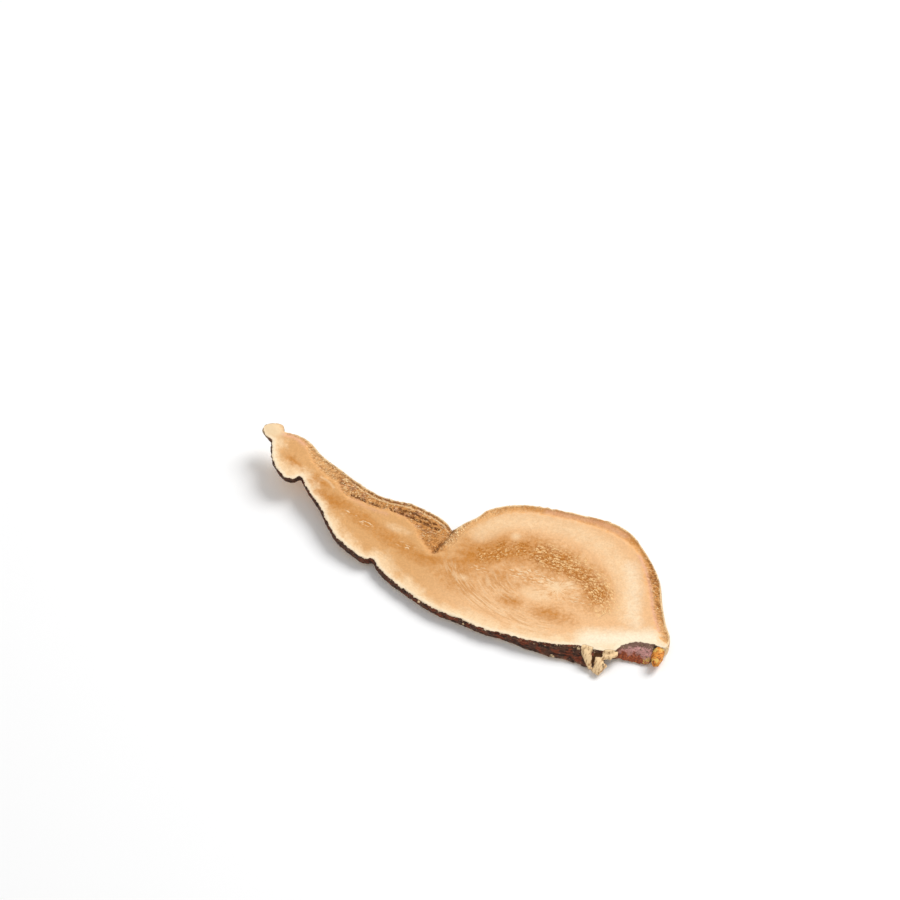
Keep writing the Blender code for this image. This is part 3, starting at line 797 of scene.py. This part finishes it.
    # longer strokes beside the ring centre and a few in the narrow end
    strokeY = plus(tree, y, times(tree, patchy, 0.2))
    strokeAway, strokeChance = cellsOf(tree, joined(tree, times(tree, x, 0.62), times(tree, strokeY, 2.3)))
    strokeMask = times(tree, ramp(tree, strokeShare, 0.2, 0.7), ramp(tree, strokeChance, 0.25, 0.4))
    stroke = times(tree, ramp(tree, strokeAway, 0.42, 0.2), strokeMask)
    strokeGap = times(tree, ramp(tree, strokeAway, 0.38, 0.6), strokeMask)
    colour = mixColours(tree, times(tree, strokeGap, 0.45), colour, fleshPaint["amber"])
    colour = mixColours(tree, times(tree, stroke, 0.8), colour, fleshPaint["rim"])

    mealy = noiseOf(tree, place, 2.2, 2.0, 0.6)
    shade = times(tree, ramp(tree, hairs, 0.3, 0.7, 0.975, 1.02), ramp(tree, grain, 0.25, 0.75, 0.95, 1.04),
                  ramp(tree, mealy, 0.3, 0.7, 0.94, 1.045))
    colour = mixColours(tree, 1.0, colour, joined(tree, shade, shade, shade), "MULTIPLY")

    height = plus(
        tree, times(tree, fleck, 0.035), times(tree, stroke, 0.03), times(tree, grain, 0.03),
        times(tree, gap, -0.02), times(tree, hairs, 0.02), times(tree, ringTone, -0.02),
    )
    feed(tree, out["Color"], colour)
    feed(tree, out["Height"], height)
    return tree


tubePaint = dict(
    light=paint(236, 182, 122),
    brown=paint(204, 138, 68),
    dark=paint(112, 58, 14),
    cream=paint(248, 216, 166),
    rosy=paint(220, 166, 130),
)


def tubeGroup():
    tree, given, out = newGroup(
        "tubeLayer",
        {"Place": "Vector", "Tubes": "Vector", "Tones": "Vector"},
        {"Color": "Color", "Height": "Float"},
    )
    place = given["Place"]
    along, into, fromLip = parted(tree, given["Tubes"])
    depthTone, coarse, rosyTone = parted(tree, given["Tones"])
    cloud = noiseOf(tree, place, 0.5, 3.0, 0.6)
    grains = noiseOf(tree, place, 2.6, 2.0, 0.65)
    drift = ramp(tree, cloud, 0.3, 0.7, -1.0, 1.0)
    bend = ramp(tree, grains, 0.3, 0.7, -0.14, 0.14)

    # cut tubes, longer across the layer than along it: dark between them, some dark inside
    inward = ramp(tree, into, -0.3, 1.4)
    strong = times(tree, coarse, mixValues(tree, inward, 0.05, 1.0), ramp(tree, cloud, 0.3, 0.6, 0.55, 1.0))
    bentAlong = plus(tree, along, bend)
    bentInto = plus(tree, into, bend)
    away, chance = cellsOf(tree, joined(tree, times(tree, bentAlong, 3.0), times(tree, bentInto, 2.1)))
    between = ramp(tree, away, 0.34, 0.7)
    pits = times(tree, ramp(tree, chance, 0.7, 0.78), ramp(tree, away, 0.54, 0.3))
    brightChance = plus(tree, chance, times(tree, depthTone, 0.45))
    bright = times(tree, ramp(tree, brightChance, 0.62, 0.5), ramp(tree, away, 0.46, 0.2))
    strands = noiseOf(tree, joined(tree, times(tree, bentAlong, 4.2), times(tree, bentInto, 1.0)), 1.0)
    darkStrand = times(tree, ramp(tree, strands, 0.5, 0.36), strong, 0.55)
    lightStrand = times(tree, ramp(tree, strands, 0.54, 0.66), strong, 0.6)

    depth = times(tree, plus(tree, depthTone, times(tree, drift, 0.25)), mixValues(tree, inward, 0.3, 1.0))
    colour = mixColours(tree, depth, tubePaint["light"], tubePaint["brown"])
    rosyCloud = times(tree, ramp(tree, cloud, 0.5, 0.66), ramp(tree, along, 44.0, 36.0, 0.1, 0.5))
    colour = mixColours(tree, calc(tree, "MAXIMUM", rosyTone, rosyCloud), colour, tubePaint["rosy"])
    darkness = ramp(tree, depthTone, 0.0, 0.4, 0.55, 1.0)
    wallShare = times(tree, between, mixValues(tree, strong, 0.04, 0.5), darkness)
    pitShare = times(tree, pits, mixValues(tree, strong, 0.06, 0.75), darkness)
    brightShare = times(tree, bright, mixValues(tree, strong, 0.1, 0.95))
    colour = mixColours(tree, darkStrand, colour, tubePaint["dark"])
    colour = mixColours(tree, lightStrand, colour, tubePaint["cream"])
    colour = mixColours(tree, wallShare, colour, tubePaint["dark"])
    colour = mixColours(tree, pitShare, colour, tubePaint["dark"])
    colour = mixColours(tree, brightShare, colour, tubePaint["cream"])

    # the outer lip, doubled where the layer is thick
    lipPlace = plus(tree, fromLip, times(tree, drift, 0.12), times(tree, bend, 0.5))
    second = calc(tree, "ABSOLUTE", calc(tree, "SUBTRACT", lipPlace, 0.95))
    furrow = calc(tree, "ABSOLUTE", calc(tree, "SUBTRACT", lipPlace, 0.55))
    doubled = times(tree, ramp(tree, along, 15.0, 22.0), ramp(tree, along, 44.0, 38.0))
    furrowMask = times(tree, ramp(tree, furrow, 0.06, 0.2, 0.7, 0.0), ramp(tree, grains, 0.42, 0.56), doubled)
    secondLip = times(tree, ramp(tree, second, 0.06, 0.24, 0.6, 0.0), doubled)
    lip = plus(tree, ramp(tree, lipPlace, 0.15, 0.45, 0.9, 0.0), secondLip)
    lip = times(tree, lip, ramp(tree, grains, 0.34, 0.5, 0.5, 1.0))
    colour = mixColours(tree, furrowMask, colour, tubePaint["dark"])
    colour = mixColours(tree, lip, colour, tubePaint["cream"])

    relief = times(tree, plus(tree, between, pits), mixValues(tree, strong, -0.01, -0.055))
    feed(tree, out["Color"], colour)
    feed(tree, out["Height"], plus(tree, relief, times(tree, bright, 0.05), times(tree, lip, 0.06)))
    return tree


crustPaint = dict(
    brown=paint(92, 58, 42),
    red=paint(132, 66, 42),
    black=paint(36, 24, 20),
    bloom=paint(158, 128, 108),
    cream=paint(236, 204, 158),
    lilac=paint(212, 158, 152),
    greyBrown=paint(126, 96, 82),
    rust=paint(160, 80, 50),
    orange=paint(206, 122, 66),
    chip=paint(226, 190, 106),
)


def crustGroup():
    tree, given, out = newGroup(
        "crustHide",
        {"Place": "Vector", "Crust": "Vector", "Marks": "Vector"},
        {"Color": "Color", "Height": "Float", "Roughness": "Float"},
    )
    place = given["Place"]
    along, fromEdge, level = parted(tree, given["Crust"])
    facet, across, flake = parted(tree, given["Marks"])
    wallwise = joined(tree, along, times(tree, level, 2.4), fromEdge)
    cloud = noiseOf(tree, place, 0.6, 3.0, 0.6)
    layers = noiseOf(tree, stretched(tree, wallwise, (0.6, 3.0, 1.0)), 1.0, 3.0, 0.6, 0.4)
    grains = noiseOf(tree, place, 3.0, 3.0, 0.65)
    redness = times(tree, ramp(tree, cloud, 0.46, 0.6), ramp(tree, along, 30.0, 75.0, 0.35, 1.0))
    colour = mixColours(tree, redness, crustPaint["brown"], crustPaint["red"])
    colour = mixColours(tree, ramp(tree, layers, 0.46, 0.6, 0.0, 0.85), colour, crustPaint["black"])
    bloom = ramp(tree, along, 30.0, 80.0, 0.15, 0.55)
    colour = mixColours(tree, times(tree, ramp(tree, grains, 0.56, 0.72), bloom), colour, crustPaint["bloom"])
    foot = times(tree, ramp(tree, level, 0.0, 0.22, 0.8, 0.0), ramp(tree, cloud, 0.35, 0.6), bloom)
    colour = mixColours(tree, foot, colour, crustPaint["bloom"])

    # the broken facet: grey-brown under the rim, lilac, and rust towards its foot
    patchy = ramp(tree, grains, 0.35, 0.65, -1.0, 1.0)
    streaks = ramp(tree, grains, 0.5, 0.64)
    facetColour = mixColours(tree, streaks, crustPaint["lilac"], crustPaint["greyBrown"])
    under = plus(tree, level, times(tree, patchy, 0.08))
    facetColour = mixColours(tree, ramp(tree, under, 0.72, 0.86), facetColour, crustPaint["greyBrown"])
    rustPlace = plus(tree, level, times(tree, across, 0.5), times(tree, patchy, 0.14))
    rustColour = mixColours(tree, ramp(tree, grains, 0.54, 0.66), crustPaint["rust"], crustPaint["orange"])
    rustColour = mixColours(tree, ramp(tree, grains, 0.46, 0.36), rustColour, crustPaint["brown"])
    rustColour = mixColours(tree, ramp(tree, cloud, 0.5, 0.62, 0.0, 0.6), rustColour, crustPaint["lilac"])
    facetColour = mixColours(tree, ramp(tree, rustPlace, 0.9, 0.66), facetColour, rustColour)
    fromChip = addNode(tree, "VectorMath", operation="DISTANCE")
    feed(tree, fromChip.inputs[0], joined(tree, times(tree, across, 1.6), level))
    fromChip.inputs[1].default_value = (1.45, 0.22, 0.0)
    chipShare = ramp(tree, plus(tree, fromChip.outputs["Value"], times(tree, patchy, 0.14)), 0.2, 0.06)
    facetColour = mixColours(tree, chipShare, facetColour, crustPaint["chip"])
    darkEdge = calc(tree, "ABSOLUTE", calc(tree, "SUBTRACT", across, 1.0))
    darkLine = ramp(tree, darkEdge, 0.02, 0.06, 0.9, 0.0)
    facetColour = mixColours(tree, darkLine, facetColour, crustPaint["black"])
    colour = mixColours(tree, facet, colour, facetColour)

    # past the broken lump the crust is gone, and the flesh is bare to the foot
    bare = ramp(tree, plus(tree, across, times(tree, patchy, 0.02)), 1.2, 1.27)
    colour = mixColours(tree, bare, colour, crustPaint["cream"])

    # cream flakes that cling to the crust, mostly at its upper edge
    clinging = times(tree, ramp(tree, level, 0.7, 0.95), ramp(tree, grains, 0.6, 0.66), 0.8)
    flakeMask = ramp(tree, plus(tree, flake, times(tree, patchy, 0.12)), 0.38, 0.55)
    flakeMask = calc(tree, "MAXIMUM", flakeMask, clinging)
    colour = mixColours(tree, flakeMask, colour, crustPaint["cream"])
    feed(tree, out["Color"], colour)
    relief = plus(tree, times(tree, layers, 0.18), times(tree, grains, 0.12))
    feed(tree, out["Height"], plus(tree, relief, times(tree, flakeMask, 0.06)))
    feed(tree, out["Roughness"], ramp(tree, cloud, 0.4, 0.6, 0.55, 0.75))
    return tree


porePaint = dict(
    cream=paint(218, 178, 130),
    brown=paint(168, 118, 72),
    hole=paint(92, 58, 34),
)


def poreGroup():
    tree, given, out = newGroup("poreSurface", {"Place": "Vector"}, {"Color": "Color", "Height": "Float"})
    cloud = noiseOf(tree, given["Place"], 0.45, 3.0, 0.6)
    away, _ = cellsOf(tree, stretched(tree, given["Place"], (3.8, 3.8, 3.8)), "3D", 0.75)
    hole = ramp(tree, away, 0.2, 0.42, 1.0, 0.0)
    colour = mixColours(tree, ramp(tree, cloud, 0.38, 0.62), porePaint["cream"], porePaint["brown"])
    colour = mixColours(tree, times(tree, hole, 0.75), colour, porePaint["hole"])
    feed(tree, out["Color"], colour)
    feed(tree, out["Height"], times(tree, hole, -0.14))
    return tree


tornPaint = dict(
    cream=paint(244, 210, 162),
    # fold is brown painted as the shade in the folds of the torn strips
    fold=paint(150, 98, 50),
    # gap is painted shade in the gaps between the torn strips
    gap=paint(84, 52, 26),
    lump=paint(228, 146, 60),
    # lighter and darker copies of the lump's orange, painted as its highlights and shade
    lumpHighlight=paint(244, 196, 104),
    lumpShade=paint(150, 78, 34),
    knob=paint(232, 205, 165),
)


def sliceMaterial():
    material = bpy.data.materials.new("driedReishi")
    material.use_nodes = True
    tree = material.node_tree
    shader = tree.nodes["Principled BSDF"]

    def attribute(name, output="Vector"):
        return addNode(tree, "Attribute", attribute_name=name, attribute_type="GEOMETRY").outputs[output]

    place = stretched(tree, addNode(tree, "TexCoord").outputs["Object"], (1000.0, 1000.0, 1000.0))
    crust = attribute("crustPlace")
    tubes = attribute("tubePlace")
    tubeTone = attribute("tubeTones")
    top, wall, pore = parted(tree, attribute("sides"))
    torn, lump, gap = parted(tree, attribute("tornPlace"))
    knob = attribute("knob", "Fac")
    fromCrack, fromFold, alongFold = parted(tree, attribute("darkLines"))
    _, coarse, rosy = parted(tree, tubeTone)
    fine = noiseOf(tree, place, 2.2, 3.0, 0.6)
    broad = noiseOf(tree, place, 0.9, 2.0, 0.5)
    jitter = ramp(tree, fine, 0.25, 0.75, -1.0, 1.0)

    flesh = useGroup(tree, fleshGroup(), {
        "Place": place, "Ring": attribute("ringPlace"), "Core": attribute("corePlace"),
        "Tones": attribute("fleshTones"), "Marks": attribute("fleshMarks"),
        "From Edge": parted(tree, crust)[1], "Rosy": rosy,
    })
    tube = useGroup(tree, tubeGroup(), {"Place": place, "Tubes": tubes, "Tones": tubeTone})
    wander = plus(tree, times(tree, jitter, 0.45), ramp(tree, broad, 0.3, 0.7, -0.5, 0.5))
    into = plus(tree, parted(tree, tubes)[1], wander)
    tubeMask = ramp(tree, into, -0.7, mixValues(tree, coarse, 1.5, 0.9))
    colour = mixColours(tree, tubeMask, flesh["Color"], tube["Color"])
    height = mixValues(tree, tubeMask, flesh["Height"], tube["Height"])

    # broken cracks along the tubes, and the fold where they meet
    crackPlace = plus(tree, fromCrack, ramp(tree, fine, 0.3, 0.7, -0.25, 0.25))
    crackMask = times(tree, ramp(tree, crackPlace, 0.05, 0.3, 1.0, 0.0), ramp(tree, broad, 0.36, 0.46))
    foldPlace = plus(tree, fromFold, ramp(tree, fine, 0.3, 0.7, -0.25, 0.4))
    foldMask = times(tree, ramp(tree, foldPlace, 0.05, 0.45, 0.8, 0.0),
                     ramp(tree, alongFold, 2.5, 5.5, 0.1, 1.0))
    lineMask = times(tree, calc(tree, "MAXIMUM", crackMask, foldMask), top, tubeMask)
    colour = mixColours(tree, times(tree, lineMask, 0.85), colour, tubePaint["dark"])
    height = calc(tree, "SUBTRACT", height, times(tree, lineMask, 0.15))

    # the wall: crust on one side, pores on the other
    hide = useGroup(tree, crustGroup(), {"Place": place, "Crust": crust, "Marks": attribute("wallMarks")})
    pores = useGroup(tree, poreGroup(), {"Place": place})
    poreMask = ramp(tree, plus(tree, pore, times(tree, jitter, 0.15)), 0.4, 0.6)
    wallMask = ramp(tree, plus(tree, wall, times(tree, jitter, 0.26)), 0.44, 0.6)
    colour = mixColours(tree, wallMask, colour, mixColours(tree, poreMask, hide["Color"], pores["Color"]))
    height = mixValues(tree, wallMask, height, mixValues(tree, poreMask, hide["Height"], pores["Height"]))
    rough = mixValues(tree, wallMask, 0.78, mixValues(tree, poreMask, hide["Roughness"], 0.8))
    knobTone = times(tree, knob, ramp(tree, fine, 0.3, 0.7, 0.8, 1.0))
    colour = mixColours(tree, knobTone, colour, tornPaint["knob"])

    # torn strips and fringes, with painted shade in their folds and gaps, and the broken lump
    # brown threads across the torn strips are painted shade in their folds
    threads = noiseOf(tree, stretched(tree, place, (3.0, 0.9, 1.6)), 1.0, 3.0, 0.6)
    threadShadeShare = ramp(tree, threads, 0.5, 0.64, 0.0, 0.7)
    tornColour = mixColours(tree, threadShadeShare, tornPaint["cream"], tornPaint["fold"])
    # the dark paint in the gaps between the strips is painted shade
    gapShadeMask = ramp(tree, plus(tree, gap, times(tree, jitter, 0.2)), 0.3, 0.8)
    tornColour = mixColours(tree, gapShadeMask, tornColour, tornPaint["gap"])
    tornMask = calc(tree, "MAXIMUM", ramp(tree, torn, 0.3, 0.7), gapShadeMask)
    colour = mixColours(tree, tornMask, colour, tornColour)
    height = mixValues(tree, tornMask, height, times(tree, threads, -0.2))
    rough = mixValues(tree, tornMask, rough, 0.8)
    # random lighter and darker patches on the lump's orange are painted highlights and painted shade in its
    # creases
    lumpColour = mixColours(tree, ramp(tree, fine, 0.52, 0.4), tornPaint["lump"], tornPaint["lumpShade"])
    lumpColour = mixColours(tree, ramp(tree, broad, 0.52, 0.64), lumpColour, tornPaint["lumpHighlight"])
    colour = mixColours(tree, ramp(tree, lump, 0.3, 0.7), colour, lumpColour)

    bump = addNode(tree, "Bump", {"Strength": 1.0, "Distance": mm, "Height": height})
    feed(tree, shader.inputs["Base Color"], colour)
    feed(tree, shader.inputs["Roughness"], rough)
    feed(tree, shader.inputs["Normal"], bump.outputs[0])
    shader.inputs["Specular IOR Level"].default_value = 0.2
    return material


sliceMesh.materials.clear()
sliceMesh.materials.append(sliceMaterial())
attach(slicePiece, "root")
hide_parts("reishi_slice")

print("studio")
studio = dict(
    floorSize=4.0,
    floorPaint=(0.93, 0.93, 0.93, 1.0),
    worldStrength=0.6,
    keyPlace=(0.28, 0.42, 0.62),
    keySize=0.5,
    keyPower=5.0,
)


def makeStudio():
    bpy.ops.mesh.primitive_plane_add(size=studio["floorSize"])
    floor = bpy.context.active_object
    floor.name = "floor"
    material = bpy.data.materials.new("palePaper")
    material.use_nodes = True
    shader = material.node_tree.nodes["Principled BSDF"]
    shader.inputs["Base Color"].default_value = studio["floorPaint"]
    shader.inputs["Roughness"].default_value = 0.9
    floor.data.materials.append(material)

    world = bpy.data.worlds.new("studio")
    world.use_nodes = True
    background = world.node_tree.nodes["Background"]
    background.inputs["Color"].default_value = (1.0, 1.0, 1.0, 1.0)
    background.inputs["Strength"].default_value = studio["worldStrength"]
    bpy.context.scene.world = world

    key = bpy.data.objects.new("key", bpy.data.lights.new("key", "AREA"))
    key.data.shape = "DISK"
    key.data.size = studio["keySize"]
    key.data.energy = studio["keyPower"]
    key.location = studio["keyPlace"]
    key.rotation_euler = (-Vector(studio["keyPlace"])).to_track_quat("-Z", "Y").to_euler()
    bpy.context.scene.collection.objects.link(key)
    bpy.context.scene.view_settings.view_transform = "Standard"


makeStudio()
